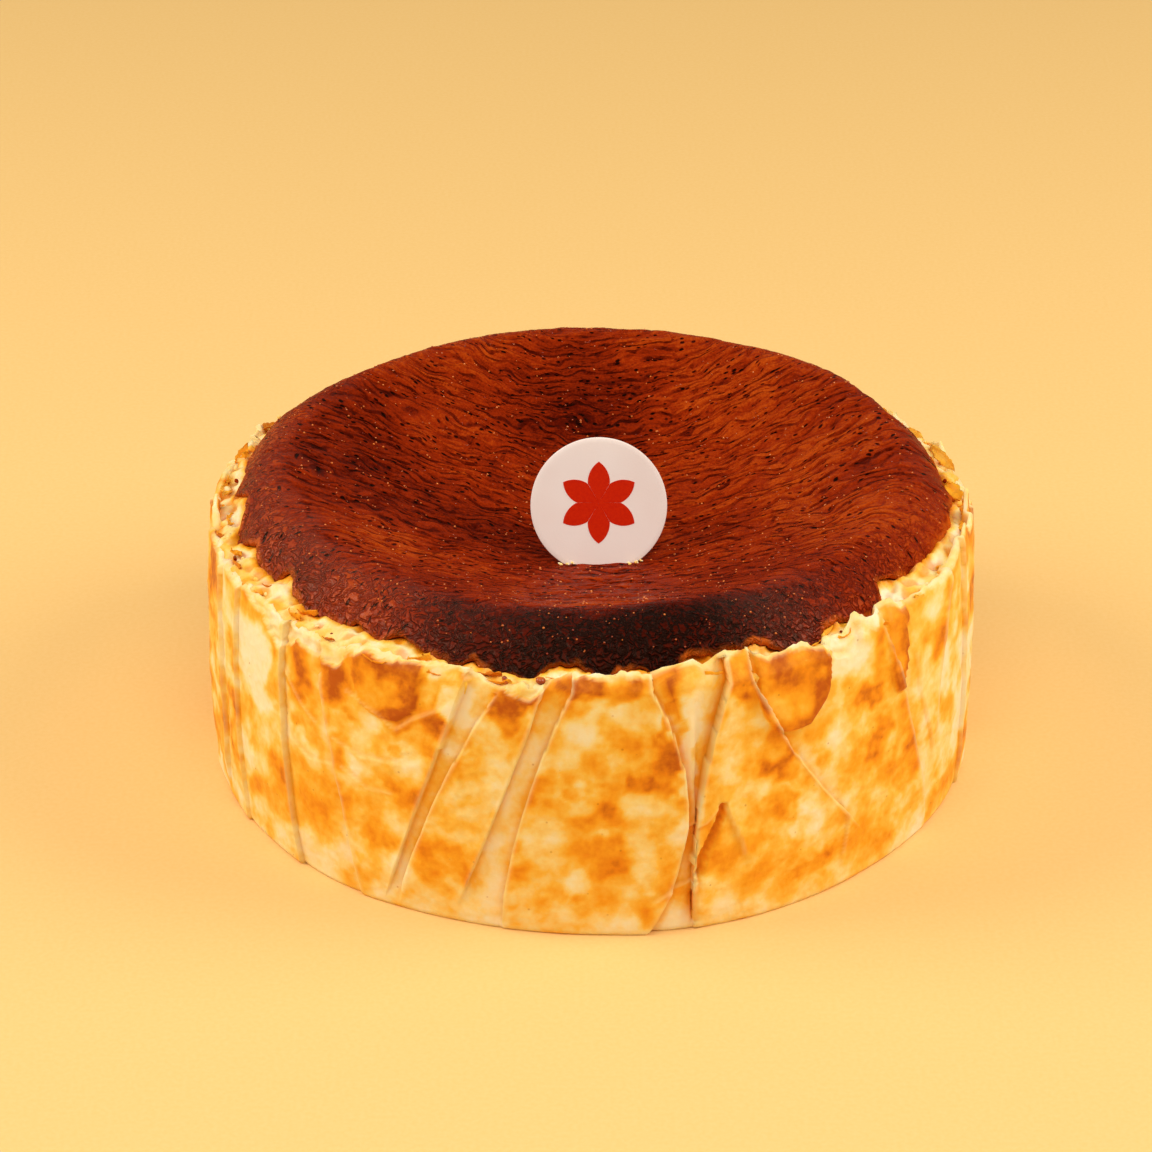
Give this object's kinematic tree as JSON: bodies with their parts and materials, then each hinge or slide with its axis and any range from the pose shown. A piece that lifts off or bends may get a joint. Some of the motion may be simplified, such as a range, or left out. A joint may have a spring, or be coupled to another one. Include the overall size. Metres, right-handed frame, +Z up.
{
  "type": "basque burnt cheesecake",
  "caption": "Whole round burnt cheesecake with a sunken dark top, paper-creased golden sides and a plain round card topper stood in its middle.",
  "frame": {"origin": "centre of the flat base, on the surface the cake stands on", "axes": "+Z up, -Y towards the front that the topper card faces, +X to the right seen from the front"},
  "size_m": [0.1808, 0.1818, 0.0788],
  "materials": {
    "cake": "satin golden-brown baked cheese with a dark burnt top",
    "topper_card": "matt white card"
  },
  "bodies": {
    "root": {"cheesecake": "cake", "topper": "topper_card"}
  },
  "joints": []
}
